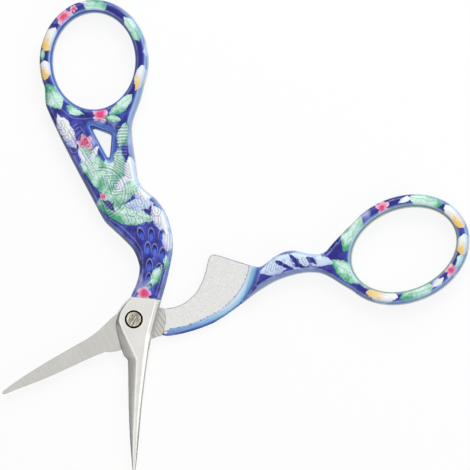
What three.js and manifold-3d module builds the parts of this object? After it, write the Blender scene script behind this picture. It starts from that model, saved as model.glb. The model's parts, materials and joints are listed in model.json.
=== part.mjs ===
// Stork embroidery scissors, lying open on a flat surface.
// Millimetres. The pivot axis is Z, and z = 0 is the plane that the scissors lie on.
// Both halves are drawn as they stand with the scissors closed, blades towards -Y and bows
// towards +Y. The lower half is then turned clockwise about the pivot by the opening angle.
import * as THREE from "three";
import { mergeVertices } from "three/addons/utils/BufferGeometryUtils.js";
import Module from "manifold-3d";

const wasm = await Module();
wasm.setup();

// Stack and clearances
const OPEN_ANGLE = 61; // degrees between closed and as it lies
const HALF_THICKNESS = 2.2; // one half, from its mating face to its outer face
const FACE_GAP = 0.1; // between the two mating faces
const SET_GAP = 0.1; // around a tang in its handle, and where blade and handle meet
const STOP_GAP = 0.5; // between the halves where they meet when closed

// Blades
const BLADE_LENGTH = 37; // pivot to tip
const CHOIL_REACH = 9.4; // pivot to the start of the cutting edge
const CHOIL_STEP = 0.5; // half the length of the notch at the choil
const TIP_X = -0.05;
const TIP_WIDTH = 0.85;
const TIP_ROUND = 0.4; // length over which the tip rounds off to half its width
const TIP_THICKNESS = 0.6;
const RIDGE_THICKNESS = 1.75; // at the start of the cutting edge
const EDGE_THICKNESS = 0.22; // wall left along the cutting edge
const BACK_THICKNESS = 0.9; // wall along the back of a blade, at its root
const EDGE_FACET = 2.55; // width of the ground facet at the root, cutting side
const BACK_FACET = 1.95; // width of the facet at the root, back side
const MIDDLE_REACH = 22; // pivot to the middle of the cutting edge
const MIDDLE_EDGE_FACET = 1.75; // facet widths there
const MIDDLE_BACK_FACET = 1.25;
const TIP_FACET = 0.18; // width of either facet at the tip
const PLATE_EDGE_BEVEL = 1; // bevel round the pivot plate, cutting side
const PLATE_BACK_BEVEL = 1.5; // and back side
const PLATE_WALL = 1.2; // straight wall of the pivot plate, under its bevel
const PLATE_REACH = 2.6; // pivot to where the plate starts to thin down to the blade

// Handles
const HANDLE_EASE = 1.2; // rounding of a handle's long edges, across
const HANDLE_EASE_RISE = 0.9; // and its height
const RIM_EASE = 1.5; // rounding of the lower mating face's outer edge, across
const RIM_EASE_RISE = 1; // and its height
const CRISP_EASE = 0.15; // rounding where a mating face runs out to a ground edge
const RAMP_ANGLE = 40; // slope from a mating face up to the full thickness of a handle
const ROD_WIDTH = 3.1; // bow rod, across
const ROD_CORNER = 1.05; // corner rounding of the rod, across
const ROD_CORNER_RISE = 1.4; // and its height

// Pivot screw
const SHANK_RADIUS = 1.25;
const BORE_CLEARANCE = 0.08; // shank in the upper blade
const THREAD_CLEARANCE = 0.05; // shank in the lower blade
const HEAD_RADIUS = 1.85;
const HEAD_HEIGHT = 0.9; // straight part of the head
const HEAD_DOME = 0.35;
const RECESS_CLEARANCE = 0.25; // round the head
const SEAT_GAP = 0.05; // under the head
const SLOT_WIDTH = 0.8;
const SLOT_DEPTH = 0.5;
const SLOT_ANGLE = 62; // degrees from X, as the scissors lie

// Tangs that carry the handles
const TANG_LENGTH = 8;
const TANG_ROOT = 3.2; // width where it leaves the blade
const TANG_END = 2;
const TANG_THICKNESS = 0.9;

// Finger bows: inside width and length, height of the centre, lean from upright in degrees
const BOW_GAP = 0.91; // between the two bows when closed
const BOW_MEET_X = 3.81; // where they meet
const UPPER_BOW = { width: 20.5, length: 24, y: 63.6, lean: 0 };
const LOWER_BOW = { width: 19.7, length: 26.6, y: 65.85, lean: -6.6 };

// Where the legs run out into the bows, in degrees round the bow
const UPPER_LEFT_ROOT = 206;
const UPPER_RIGHT_ROOT = 340;
const LOWER_LEFT_ROOT = 203;
const LOWER_RIGHT_ROOT = 318;

// Line where the upper blade runs into its handle, and its slope
const UPPER_JOINT = { x: 2.8, y: 5.2, slope: -5.5 };
const LOWER_JOINT_RADIUS = 7.7; // the lower blade ends on a circle about the pivot

// Crest of the lower handle, which the upper handle closes against
const CREST_LOW = [-4.6, 24.6];
const CREST_HIGH = [3.8, 32.9];
// Shoulder of the upper handle, which the ramp on the lower handle clears
const SHOULDER = [5.5, 29.4];
const RAMP_HEADING = -45; // degrees, along the foot of the ramp

// Outlines: points of each edge as [x, y], from the blade up to the bow
const UPPER_LEFT_EDGE = [
  [-1.4, -MIDDLE_REACH],
  [-1.65, -CHOIL_REACH - CHOIL_STEP],
  [-2.6, -CHOIL_REACH + CHOIL_STEP],
  [-4.4, -2.6],
  [-4.7, -0.7],
  [-4.2, 1.6],
  [-2.4, 4.3],
  [-1, 5.6],
  [0.6, 8.7],
  [1.4, 12.6], // hollow of the neck
  [0.1, 16.6],
  [-3.4, 20.5],
  [-7, 23.9], // tail end of the wing
  [-9.7, 28.7],
  [-20.8, 50.5], // heel of the left leg
  [-21.8, 53.1],
];
const UPPER_RIGHT_EDGE = [
  [1.2, -28.5],
  [1.8, -MIDDLE_REACH],
  [3.4, -CHOIL_REACH],
  [4.3, -4.6],
  [6.4, 3.6],
  [8.4, 10.9],
  [9.6, 18.4], // breast
  [8.4, 24.7],
  SHOULDER,
  [1.9, 32.4],
  [0.9, 34.2],
  [0.3, 38],
  [-0.8, 47], // ankle of the right leg
  [-0.4, 49.2],
  [1.1, 53.3],
];
const LOWER_LEFT_EDGE = [
  [-1.3, -28.7],
  [-1.55, -MIDDLE_REACH],
  [-1.65, -12],
  [-2.1, -8.6],
  [-3.1, -5],
  [-3.6, -1.5],
  [-3.2, 1.4],
  [-1.8, 4.4],
  [0.6, 7.1],
  [2.1, 10],
  [2.35, 12.5], // hollow of the neck
  [1.4, 16.8],
  [-1.6, 20.7],
  [-4.3, 23.2],
  [-4.75, 24],
  CREST_LOW,
  [-2.4, 26.8],
  [1.4, 30.4],
  CREST_HIGH,
  [3.9, 33.9],
  [3.35, 37.5], // thigh
  [3.5, 40.3], // knee
  [4.6, 42.6],
  [7, 45.3],
  [8.3, 47.6], // shin
  [8.4, 49],
  [7.7, 50.8],
];
const LOWER_RIGHT_EDGE = [
  [0.7, -34],
  [1.8, -26.2],
  [2.2, -MIDDLE_REACH],
  [3.35, -CHOIL_REACH - CHOIL_STEP],
  [4.1, -CHOIL_REACH + CHOIL_STEP],
  [5.6, -3],
  [6.05, 0.5],
  [6.4, 3.3],
  [7.2, 4.7],
  [8.1, 6.9],
  [9.4, 11.8],
  [10.1, 17], // breast
  [9.6, 22.9],
  [8.7, 29],
  [8.45, 33.5],
  [9.2, 38.7],
  [10.35, 42.2],
  [12, 45],
  [14, 46.7],
  [17.1, 48.4],
  [20, 50.1],
];

// Window between the two legs of the upper handle, widest at the faces
const WINDOW = [
  [-10.6, 47.2],
  [-5.7, 45.3],
  [-6.2, 39.1],
];
const WINDOW_DRAFT = 1.25; // size of the window at the faces over its size at mid-thickness

// Mesh fineness
const LEVEL_STEP = 2.2; // length between two cross-sections
const BOW_STEPS = 56;
const CORNER_STEPS = 3;
const ROUND_STEPS = 32;

const TOTAL = 2 * HALF_THICKNESS + FACE_GAP;
const UPPER_FACE = HALF_THICKNESS + FACE_GAP;
const LOWER_FACE = HALF_THICKNESS;
const FAR = 400; // larger than the whole tool
const rad = THREE.MathUtils.degToRad;

// Half the outside width of a bow, square to the closed tool.
function bowReach(bow) {
  const across = (bow.width / 2 + ROD_WIDTH) * Math.cos(rad(bow.lean));
  const along = (bow.length / 2 + ROD_WIDTH) * Math.sin(rad(bow.lean));
  return Math.hypot(across, along);
}
UPPER_BOW.x = BOW_MEET_X - BOW_GAP / 2 - bowReach(UPPER_BOW);
LOWER_BOW.x = BOW_MEET_X + BOW_GAP / 2 + bowReach(LOWER_BOW);

// Curves

// A smooth value(y) through a few [value, y] points that never swings past them.
function through(...points) {
  const knots = [...points].sort((a, b) => a[1] - b[1]);
  const last = knots.length - 1;
  const chord = (i) =>
    (knots[i + 1][0] - knots[i][0]) / Math.max(knots[i + 1][1] - knots[i][1], 1e-6);
  const slope = knots.map((_, i) => {
    if (i === 0) return chord(0);
    if (i === last) return chord(last - 1);
    const before = chord(i - 1);
    const after = chord(i);
    return before * after > 0 ? (2 * before * after) / (before + after) : 0;
  });
  const value = (y) => {
    if (y <= knots[0][1]) return knots[0][0];
    if (y >= knots[last][1]) return knots[last][0];
    const i = knots.findIndex((k) => k[1] > y) - 1;
    const span = knots[i + 1][1] - knots[i][1];
    const t = (y - knots[i][1]) / span;
    const flat = t * t * (3 - 2 * t);
    const lead = t * (1 - t) * (1 - t) * span * slope[i];
    const tail = t * t * (t - 1) * span * slope[i + 1];
    return knots[i][0] + flat * (knots[i + 1][0] - knots[i][0]) + lead + tail;
  };
  value.knots = knots.map((k) => k[1]);
  return value;
}

// A point on the outside of a bow, at an angle round it.
function onBow(bow, degrees) {
  const across = (bow.width / 2 + ROD_WIDTH) * Math.cos(rad(degrees));
  const along = (bow.length / 2 + ROD_WIDTH) * Math.sin(rad(degrees));
  const lean = rad(bow.lean);
  return [
    bow.x + across * Math.cos(lean) - along * Math.sin(lean),
    bow.y + across * Math.sin(lean) + along * Math.cos(lean),
  ];
}

// The left and right edge of each half, from the tip up to the bow
const tipSide = (side) => [
  [TIP_X + (side * TIP_WIDTH) / 4, -BLADE_LENGTH],
  [TIP_X + (side * TIP_WIDTH) / 2, -BLADE_LENGTH + TIP_ROUND],
];
const upper = {
  left: through(...tipSide(-1), ...UPPER_LEFT_EDGE, onBow(UPPER_BOW, UPPER_LEFT_ROOT)),
  right: through(...tipSide(1), ...UPPER_RIGHT_EDGE, onBow(UPPER_BOW, UPPER_RIGHT_ROOT)),
};
const lower = {
  left: through(...tipSide(-1), ...LOWER_LEFT_EDGE, onBow(LOWER_BOW, LOWER_LEFT_ROOT)),
  right: through(...tipSide(1), ...LOWER_RIGHT_EDGE, onBow(LOWER_BOW, LOWER_RIGHT_ROOT)),
};

// Widths and heights of the facets along a blade, on its cutting side and on its back
const edgeFacet = through(
  [TIP_FACET, -BLADE_LENGTH],
  [MIDDLE_EDGE_FACET, -MIDDLE_REACH],
  [EDGE_FACET, -CHOIL_REACH - CHOIL_STEP],
  [EDGE_FACET + CHOIL_STEP, -CHOIL_REACH + CHOIL_STEP],
  [PLATE_EDGE_BEVEL, 0],
);
const backFacet = through(
  [TIP_FACET, -BLADE_LENGTH],
  [MIDDLE_BACK_FACET, -MIDDLE_REACH],
  [BACK_FACET, -CHOIL_REACH],
  [PLATE_BACK_BEVEL, -PLATE_REACH],
);
const edgeWall = through(
  [EDGE_THICKNESS, -BLADE_LENGTH],
  [EDGE_THICKNESS, -CHOIL_REACH + CHOIL_STEP],
  [PLATE_WALL, -PLATE_REACH],
);
const backWall = through(
  [EDGE_THICKNESS, -BLADE_LENGTH],
  [BACK_THICKNESS, -CHOIL_REACH],
  [PLATE_WALL, -PLATE_REACH],
);
const bladeRise = through(
  [TIP_THICKNESS, -BLADE_LENGTH],
  [RIDGE_THICKNESS, -CHOIL_REACH],
  [HALF_THICKNESS, -PLATE_REACH],
);

// Solids

function toSolid(geometry) {
  const bare = geometry.clone();
  bare.deleteAttribute("normal");
  bare.deleteAttribute("uv");
  const merged = mergeVertices(bare, 1e-4);
  return new wasm.Manifold(
    new wasm.Mesh({
      numProp: 3,
      vertProperties: new Float32Array(merged.attributes.position.array),
      triVerts: new Uint32Array(merged.index.array),
    }),
  );
}

function toGeometry(solid) {
  const mesh = solid.getMesh();
  const geometry = new THREE.BufferGeometry();
  geometry.setAttribute("position", new THREE.BufferAttribute(mesh.vertProperties, 3));
  geometry.setIndex(new THREE.BufferAttribute(mesh.triVerts, 1));
  geometry.computeVertexNormals();
  return geometry;
}

// Skins a row of loops that have the same number of points: a closed row makes a ring,
// and an open one gets flat ends.
function loft(loops, closed = false) {
  const size = loops[0].length;
  const positions = loops.flat().flatMap((p) => [p.x, p.y, p.z]);
  const faces = [];
  const rows = closed ? loops.length : loops.length - 1;
  for (let i = 0; i < rows; i++) {
    const here = i * size;
    const next = ((i + 1) % loops.length) * size;
    for (let j = 0; j < size; j++) {
      const k = (j + 1) % size;
      faces.push(here + j, here + k, next + j, here + k, next + k, next + j);
    }
  }
  if (!closed) {
    const top = (loops.length - 1) * size;
    for (let j = 1; j < size - 1; j++) {
      faces.push(0, j + 1, j, top, top + j, top + j + 1);
    }
  }
  const geometry = new THREE.BufferGeometry();
  geometry.setAttribute("position", new THREE.Float32BufferAttribute(positions, 3));
  geometry.setIndex(faces);
  return toSolid(geometry);
}

// Heights for the cross-sections between two ends: evenly spaced, and at every knot.
function levels(from, to, ...edges) {
  const count = Math.ceil((to - from) / LEVEL_STEP);
  const even = Array.from({ length: count + 1 }, (_, i) => from + ((to - from) * i) / count);
  const knots = edges.flatMap((e) => e.knots).filter((y) => y > from && y < to);
  const all = [...even, ...knots].sort((a, b) => a - b);
  return all.filter((y, i) => i === 0 || i === all.length - 1 || y - all[i - 1] > LEVEL_STEP / 8);
}

// One cross-section: flat on its mating face, a land between two bevels on the other.
// A side holds its x, the ease of its mating edge, the height of its wall and its bevel.
function section(y, face, outward, rise, left, right) {
  const outline = [
    [left.x + left.ease, 0],
    [left.x, left.easeRise],
    [left.x, left.wall],
    [left.x + left.bevel, rise],
    [right.x - right.bevel, rise],
    [right.x, right.wall],
    [right.x, right.easeRise],
    [right.x - right.ease, 0],
  ].map(([x, height]) => new THREE.Vector3(x, y, face + outward * height));
  return outward > 0 ? outline : outline.reverse();
}

function box(width, depth, height, x, y, z) {
  return new THREE.BoxGeometry(width, depth, height).translate(x, y, z);
}

function cylinder(radius, from, to) {
  return new THREE.CylinderGeometry(radius, radius, to - from, ROUND_STEPS)
    .rotateX(Math.PI / 2)
    .translate(0, 0, (from + to) / 2);
}

// Everything on the near side of a plane that goes through a point at height z. The plane
// runs along the heading, and leans back by the ramp as it goes outward from the face.
function behindRamp([x, y], z, heading, outward) {
  const lean = outward * rad(90 - RAMP_ANGLE);
  return toSolid(
    box(FAR, FAR, FAR, 0, -FAR / 2, 0)
      .rotateX(-lean)
      .rotateZ(rad(heading))
      .translate(x, y, z),
  );
}

// Blade and pivot plate, with the cutting edge on the left or on the right.
function bladeSolid(edges, face, outward, cutsLeft, top) {
  const cutting = (y, x) => ({
    x,
    ease: EDGE_THICKNESS / 4,
    easeRise: EDGE_THICKNESS / 4,
    wall: edgeWall(y),
    bevel: edgeFacet(y),
  });
  const back = (y, x) => ({
    x,
    ease: EDGE_THICKNESS / 4,
    easeRise: EDGE_THICKNESS / 4,
    wall: backWall(y),
    bevel: backFacet(y),
  });
  const loops = levels(-BLADE_LENGTH, top, edges.left, edges.right).map((y) => {
    const left = (cutsLeft ? cutting : back)(y, edges.left(y));
    const right = (cutsLeft ? back : cutting)(y, edges.right(y));
    return section(y, face, outward, bladeRise(y), left, right);
  });
  return loft(loops);
}

// A long-edge rounding of a handle, as one side of a cross-section.
function roundedSide(x, rise, ease, easeRise) {
  return { x, ease, easeRise, wall: rise - HANDLE_EASE_RISE, bevel: HANDLE_EASE };
}

// The part of a handle that lies on one side of its mating face, which is crisp on the left
// and rounded on the right.
function halfThickHandle(edges, face, outward, from, to, ease, easeRise) {
  const loops = levels(from, to, edges.left, edges.right).map((y) =>
    section(
      y,
      face,
      outward,
      HALF_THICKNESS,
      roundedSide(edges.left(y), HALF_THICKNESS, CRISP_EASE, CRISP_EASE),
      roundedSide(edges.right(y), HALF_THICKNESS, ease, easeRise),
    ),
  );
  return loft(loops);
}

// The part of a handle that has the thickness of both halves.
function fullThickHandle(edges, from, to) {
  const loops = levels(from, to, edges.left, edges.right).map((y) =>
    section(
      y,
      0,
      1,
      TOTAL,
      roundedSide(edges.left(y), TOTAL, HANDLE_EASE, HANDLE_EASE_RISE),
      roundedSide(edges.right(y), TOTAL, HANDLE_EASE, HANDLE_EASE_RISE),
    ),
  );
  return loft(loops);
}

// The rod of a finger bow, with rounded corners, flat where it lies on a table.
function bowRod(bow) {
  const across = bow.width / 2 + ROD_WIDTH / 2;
  const along = bow.length / 2 + ROD_WIDTH / 2;
  const corners = [
    [1, 1],
    [-1, 1],
    [-1, -1],
    [1, -1],
  ];
  const profile = corners.flatMap(([sideways, upright], quarter) =>
    Array.from({ length: CORNER_STEPS + 1 }, (_, i) => {
      const turn = rad(90 * (quarter + i / CORNER_STEPS));
      return [
        sideways * (ROD_WIDTH / 2 - ROD_CORNER) + ROD_CORNER * Math.cos(turn),
        upright * (TOTAL / 2 - ROD_CORNER_RISE) + ROD_CORNER_RISE * Math.sin(turn),
      ];
    }),
  );
  const loops = Array.from({ length: BOW_STEPS }, (_, i) => {
    const turn = (2 * Math.PI * i) / BOW_STEPS;
    const centre = new THREE.Vector3(across * Math.cos(turn), along * Math.sin(turn), TOTAL / 2);
    const out = new THREE.Vector3(along * Math.cos(turn), across * Math.sin(turn), 0).normalize();
    return profile.map(([u, v]) => centre.clone().addScaledVector(out, u).setZ(TOTAL / 2 + v));
  });
  const place = new THREE.Matrix4()
    .makeRotationZ(rad(bow.lean))
    .setPosition(bow.x, bow.y, 0);
  return loft(loops.map((loop) => loop.map((p) => p.applyMatrix4(place))).reverse(), true);
}

// Clears a finger hole out to the middle of the bow's rod, which then covers the cut.
function fingerHole(bow) {
  const outline = new THREE.Shape();
  outline.absellipse(
    bow.x,
    bow.y,
    bow.width / 2 + ROD_WIDTH / 2,
    bow.length / 2 + ROD_WIDTH / 2,
    0,
    2 * Math.PI,
    false,
    rad(bow.lean),
  );
  const prism = new THREE.ExtrudeGeometry(outline, {
    depth: 3 * TOTAL,
    curveSegments: BOW_STEPS,
    bevelEnabled: false,
  });
  return toSolid(prism.translate(0, 0, -TOTAL));
}

// The window between the legs, drafted both ways from mid-thickness.
function legWindow() {
  const middle = [0, 1].map((axis) => WINDOW.reduce((sum, p) => sum + p[axis], 0) / WINDOW.length);
  const triangle = (scale, z) =>
    WINDOW.map(
      ([x, y]) =>
        new THREE.Vector3(
          middle[0] + scale * (x - middle[0]),
          middle[1] + scale * (y - middle[1]),
          z,
        ),
    );
  return loft([
    triangle(WINDOW_DRAFT, TOTAL + FACE_GAP),
    triangle(1, TOTAL / 2),
    triangle(WINDOW_DRAFT, -FACE_GAP),
  ]);
}

// A tapered tang up the middle of the neck, or the pocket for it when there is a gap.
function tang(edges, face, outward, root, gap) {
  const end = root + TANG_LENGTH;
  const heights = [root - TANG_ROOT, root, end + gap];
  const loops = heights.map((y) => {
    const middle = (edges.left(y) + edges.right(y)) / 2;
    const share = THREE.MathUtils.clamp((y - root) / TANG_LENGTH, 0, 1);
    const half = THREE.MathUtils.lerp(TANG_ROOT, TANG_END, share) / 2 + gap;
    const low = HALF_THICKNESS / 2 - TANG_THICKNESS / 2 - gap;
    const high = HALF_THICKNESS / 2 + TANG_THICKNESS / 2 + gap;
    const loop = [
      [middle - half, low],
      [middle - half, high],
      [middle + half, high],
      [middle + half, low],
    ].map(([x, height]) => new THREE.Vector3(x, y, face + outward * height));
    return outward > 0 ? loop : loop.reverse();
  });
  return loft(loops);
}

// Everything past the line where the upper blade runs into its handle, moved on by a gap.
function beyondUpperJoint(gap) {
  return toSolid(
    box(FAR, FAR, FAR, 0, FAR / 2 + gap, 0)
      .rotateZ(rad(UPPER_JOINT.slope))
      .translate(UPPER_JOINT.x, UPPER_JOINT.y, 0),
  );
}

// The region of the lower blade: the blade side of the pivot and a disc about the pivot.
function lowerBladeRegion(gap) {
  const disc = toSolid(cylinder(LOWER_JOINT_RADIUS + gap, -FAR, FAR));
  return disc.add(toSolid(box(FAR, FAR, FAR, 0, -FAR / 2, 0)));
}

function upperBlade() {
  const root = UPPER_JOINT.y;
  const recessFloor = TOTAL - HEAD_HEIGHT;
  return bladeSolid(upper, UPPER_FACE, 1, true, root + TANG_ROOT)
    .subtract(beyondUpperJoint(0))
    .add(tang(upper, UPPER_FACE, 1, root, 0))
    .subtract(toSolid(cylinder(SHANK_RADIUS + BORE_CLEARANCE, -TOTAL, 2 * TOTAL)))
    .subtract(toSolid(cylinder(HEAD_RADIUS + RECESS_CLEARANCE, recessFloor, 2 * TOTAL)));
}

function upperHandle() {
  const from = UPPER_JOINT.y - TANG_ROOT;
  const to = onBow(UPPER_BOW, UPPER_LEFT_ROOT)[1];
  const crest = Math.atan2(CREST_HIGH[1] - CREST_LOW[1], CREST_HIGH[0] - CREST_LOW[0]);
  const stop = [
    CREST_LOW[0] - STOP_GAP * Math.sin(crest),
    CREST_LOW[1] + STOP_GAP * Math.cos(crest),
  ];
  const crestHeading = THREE.MathUtils.radToDeg(crest);
  const legs = fullThickHandle(upper, CREST_LOW[1] - TANG_LENGTH, to).subtract(
    behindRamp(stop, UPPER_FACE, crestHeading, -1),
  );
  return halfThickHandle(upper, UPPER_FACE, 1, from, to, HANDLE_EASE, HANDLE_EASE_RISE)
    .add(legs)
    .subtract(fingerHole(UPPER_BOW))
    .subtract(legWindow())
    .add(bowRod(UPPER_BOW))
    .intersect(beyondUpperJoint(SET_GAP))
    .subtract(tang(upper, UPPER_FACE, 1, UPPER_JOINT.y, SET_GAP));
}

function lowerBlade() {
  return bladeSolid(lower, LOWER_FACE, -1, false, LOWER_JOINT_RADIUS + TANG_ROOT)
    .intersect(lowerBladeRegion(0))
    .add(tang(lower, LOWER_FACE, -1, LOWER_JOINT_RADIUS, 0))
    .subtract(toSolid(cylinder(SHANK_RADIUS + THREAD_CLEARANCE, -TOTAL, TOTAL)));
}

function lowerHandle() {
  const to = onBow(LOWER_BOW, LOWER_LEFT_ROOT)[1];
  const flatEnd = CREST_HIGH[1] + TANG_LENGTH;
  const past = STOP_GAP - HANDLE_EASE;
  const rampFoot = [
    SHOULDER[0] - past * Math.sin(rad(RAMP_HEADING)),
    SHOULDER[1] + past * Math.cos(rad(RAMP_HEADING)),
  ];
  const leg = fullThickHandle(lower, CREST_LOW[1], to).subtract(
    behindRamp(rampFoot, LOWER_FACE, RAMP_HEADING, 1),
  );
  return halfThickHandle(lower, LOWER_FACE, -1, 0, flatEnd, RIM_EASE, RIM_EASE_RISE)
    .add(leg)
    .subtract(fingerHole(LOWER_BOW))
    .add(bowRod(LOWER_BOW))
    .subtract(lowerBladeRegion(SET_GAP))
    .subtract(tang(lower, LOWER_FACE, -1, LOWER_JOINT_RADIUS, SET_GAP));
}

// Slotted screw: head in the upper blade's recess, end flush with the lower blade's face.
function pivotScrew() {
  const seat = TOTAL - HEAD_HEIGHT + SEAT_GAP;
  const shoulder = seat + HEAD_HEIGHT;
  const dome = Array.from({ length: CORNER_STEPS + 1 }, (_, i) => {
    const turn = rad((90 * i) / CORNER_STEPS);
    const radius = i === CORNER_STEPS ? 0 : HEAD_RADIUS * Math.cos(turn);
    return new THREE.Vector2(radius, shoulder + HEAD_DOME * Math.sin(turn));
  });
  const profile = [
    new THREE.Vector2(0, 0),
    new THREE.Vector2(SHANK_RADIUS, 0),
    new THREE.Vector2(SHANK_RADIUS, seat),
    new THREE.Vector2(HEAD_RADIUS, seat),
    ...dome,
  ];
  const turned = new THREE.LatheGeometry(profile, ROUND_STEPS).rotateX(Math.PI / 2);
  const slotFloor = shoulder + HEAD_DOME - SLOT_DEPTH;
  const slot = box(FAR, SLOT_WIDTH, FAR, 0, 0, slotFloor + FAR / 2);
  return toSolid(turned).subtract(toSolid(slot.rotateZ(rad(SLOT_ANGLE + OPEN_ANGLE))));
}

// Assembly

const groundSteel = new THREE.MeshStandardMaterial({
  name: "ground_steel",
  color: 0xc9c8c5,
  roughness: 0.35,
  metalness: 1,
});
const printedCoat = new THREE.MeshStandardMaterial({
  name: "printed_coat",
  color: 0x4650b4,
  roughness: 0.2,
  metalness: 0,
});
const screwSteel = new THREE.MeshStandardMaterial({
  name: "screw_steel",
  color: 0xcfc6b4,
  roughness: 0.3,
  metalness: 1,
});

function piece(name, solid, material) {
  const mesh = new THREE.Mesh(toGeometry(solid), material);
  mesh.name = name;
  return mesh;
}

const upperHalf = new THREE.Group();
upperHalf.add(
  piece("upper_blade", upperBlade(), groundSteel),
  piece("upper_handle", upperHandle(), printedCoat),
);

const lowerHalf = new THREE.Group();
lowerHalf.add(
  piece("lower_blade", lowerBlade(), groundSteel),
  piece("lower_handle", lowerHandle(), printedCoat),
  piece("pivot_screw", pivotScrew(), screwSteel),
);
lowerHalf.rotation.z = rad(-OPEN_ANGLE);

const scissors = new THREE.Group();
scissors.add(upperHalf, lowerHalf);

export default scissors;
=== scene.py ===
"""Stork embroidery scissors: the finish of every piece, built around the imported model."""

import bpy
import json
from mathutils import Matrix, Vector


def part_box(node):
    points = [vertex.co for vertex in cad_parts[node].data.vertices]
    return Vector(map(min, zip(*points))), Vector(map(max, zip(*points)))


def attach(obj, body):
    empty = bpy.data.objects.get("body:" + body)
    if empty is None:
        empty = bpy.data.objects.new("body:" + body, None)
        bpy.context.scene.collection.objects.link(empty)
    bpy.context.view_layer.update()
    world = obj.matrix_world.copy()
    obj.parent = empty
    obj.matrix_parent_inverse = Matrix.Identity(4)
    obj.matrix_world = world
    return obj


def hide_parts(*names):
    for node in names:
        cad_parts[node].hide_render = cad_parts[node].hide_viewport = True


bl_info = {
    "name": "Stork Embroidery Scissors",
    "version": (1, 0, 0),
    "blender": (4, 5, 0),
    "location": "View3D > Sidebar > Scissors",
    "description": "Ground steel blades, embossed and printed handles, and a slotted pivot screw",
    "category": "Object",
}

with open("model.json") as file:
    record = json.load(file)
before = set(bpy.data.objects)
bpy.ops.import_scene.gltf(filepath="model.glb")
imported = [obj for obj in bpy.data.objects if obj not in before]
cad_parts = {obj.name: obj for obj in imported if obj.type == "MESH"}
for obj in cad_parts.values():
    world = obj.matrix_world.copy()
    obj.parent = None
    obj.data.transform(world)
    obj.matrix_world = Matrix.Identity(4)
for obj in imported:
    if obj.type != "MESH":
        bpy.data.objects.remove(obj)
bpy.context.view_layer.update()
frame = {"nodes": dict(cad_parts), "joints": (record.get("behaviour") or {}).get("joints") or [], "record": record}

import json
import math
from functools import partial

import bmesh
import bpy
import numpy as np
from bpy.props import FloatProperty, FloatVectorProperty, IntProperty, PointerProperty
from bpy.types import Operator, Panel, PropertyGroup
from mathutils import Matrix, Vector

MM = 0.001
MERGE = 0.001 * MM  # points closer than this become one
WHITE = (1, 1, 1, 1)

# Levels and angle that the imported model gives
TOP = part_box("upper_blade")[1].z  # outer face of the upper half
UPPER_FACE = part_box("upper_blade")[0].z  # mating face of the upper half
LOWER_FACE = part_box("lower_blade")[1].z  # mating face of the lower half
OPEN_ANGLE = -frame["joints"][0]["range_deg"][0]  # degrees from closed to as it lies
LOWER_TURN = math.radians(-OPEN_ANGLE)

# From here to the settings, lengths are in mm
# Where each handle meets its blade: centre and radius of that line, and how far it is drawn on
LOWER_JOINT = ((0, 0), 7.7, 0.3)
UPPER_JOINT = ((-16.4, -193.9), 200, 0.3)
JOINT_SPAN = (1.3, 0.1)  # past that line, from where nothing is drawn on to where all is
JOINT_CLEAR = 0.5  # width of the blade's end that stays as packed

# Ground facets, along a blade
FACET_ENDS = (-44, -3.5)
FACET_STEP = 0.5  # between the places where a facet is measured
BELLY_START = (-4, -7)  # from no belly to all of it

# Handles
FACE_MARGIN = 0.45  # height of the edges of a mating face that stay crisp
UPPER_REACH, LOWER_REACH = 27, 36  # from the pivot to the end of each mating face
CARVED_TURN = 0.4  # least part of a carved face's normal that points up or down
CARVED_LEVEL = 3.2  # above the table: outer faces over this level are carved
UPPER_CARVED, LOWER_CARVED = 51.5, 52  # end of the carving, along Y and along X
UNDER_LEVEL, UNDER_CARVED = 1, 33  # underside of the lower handle, and its carving from the pivot
LIGHT_SIDE = (0.8, -0.6)  # side towards the light and the camera: walls facing it are painted paler, as painted light
PRINT_START = 8.4  # from the pivot to the print of the lower handle
BAND_WIDTH, BAND_GAIN = 2.0, 0.8  # pale band along the bare face: least width, and what it gains
OUTLINE_WIDTH = 0.2  # dark line along the bare face

# Spans over which the paint changes, from none of the change to all of it
# From the pivot: side walls paler, painted light leaning more on the bows, band wider and paler
PALE_WALLS = (13, 24)
BOW_WALLS = (46, 54)
WIDE_BAND = (14, 28)
PALE_BAND = (12, 26)
# Off the mating level: bare seat of the blade, ground face, its worn brink, its outline
SEAT_DEPTH = (0.9, 0.5)
FACE_DEPTH = (0.14, 0.04)
BRINK_DEPTH = (0.5, 0.25)
OUTLINE_DEPTH = (0.3, 0.1)
# Past the start of the print, past the end of a mating face, and past its edge
SEAT_END = (0.3, -0.1)
WEAR_END = (5, 1)
FACE_END = (1, -1)
FACE_EDGE = (0.15, -0.1)
# From the middle of a bow, and from the gap between the legs: their inner walls
HOLE_WALL = (15.5, 14)
WINDOW_WALL = (1.5, 0.7)


def linear(code):
    """An sRGB hex colour as linear red, green and blue."""
    levels = [int(code[i : i + 2], 16) / 255 for i in (1, 3, 5)]
    return [c / 12.92 if c <= 0.04045 else ((c + 0.055) / 1.055) ** 2.4 for c in levels]


def number(name, description, value, **limits):
    """A plain number that a user may change."""
    return FloatProperty(name=name, description=description, default=value, **limits)


def size(name, description, millimetres):
    """A length that a user may change, kept in metres and written in millimetres."""
    return number(name, description, millimetres * MM, unit="LENGTH", precision=5)


def angle(name, description, degrees):
    """An angle that a user may change, written in degrees."""
    return number(name, description, math.radians(degrees), subtype="ANGLE")


def colour(name, description, code):
    """A colour that a user may change, written as an sRGB hex value."""
    return FloatVectorProperty(
        name=name, description=description, default=linear(code), subtype="COLOR", min=0, max=1
    )


def passes(name, description, count):
    """A number of smoothing passes that a user may change."""
    return IntProperty(name=name, description=description, default=count, min=0)


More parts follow.
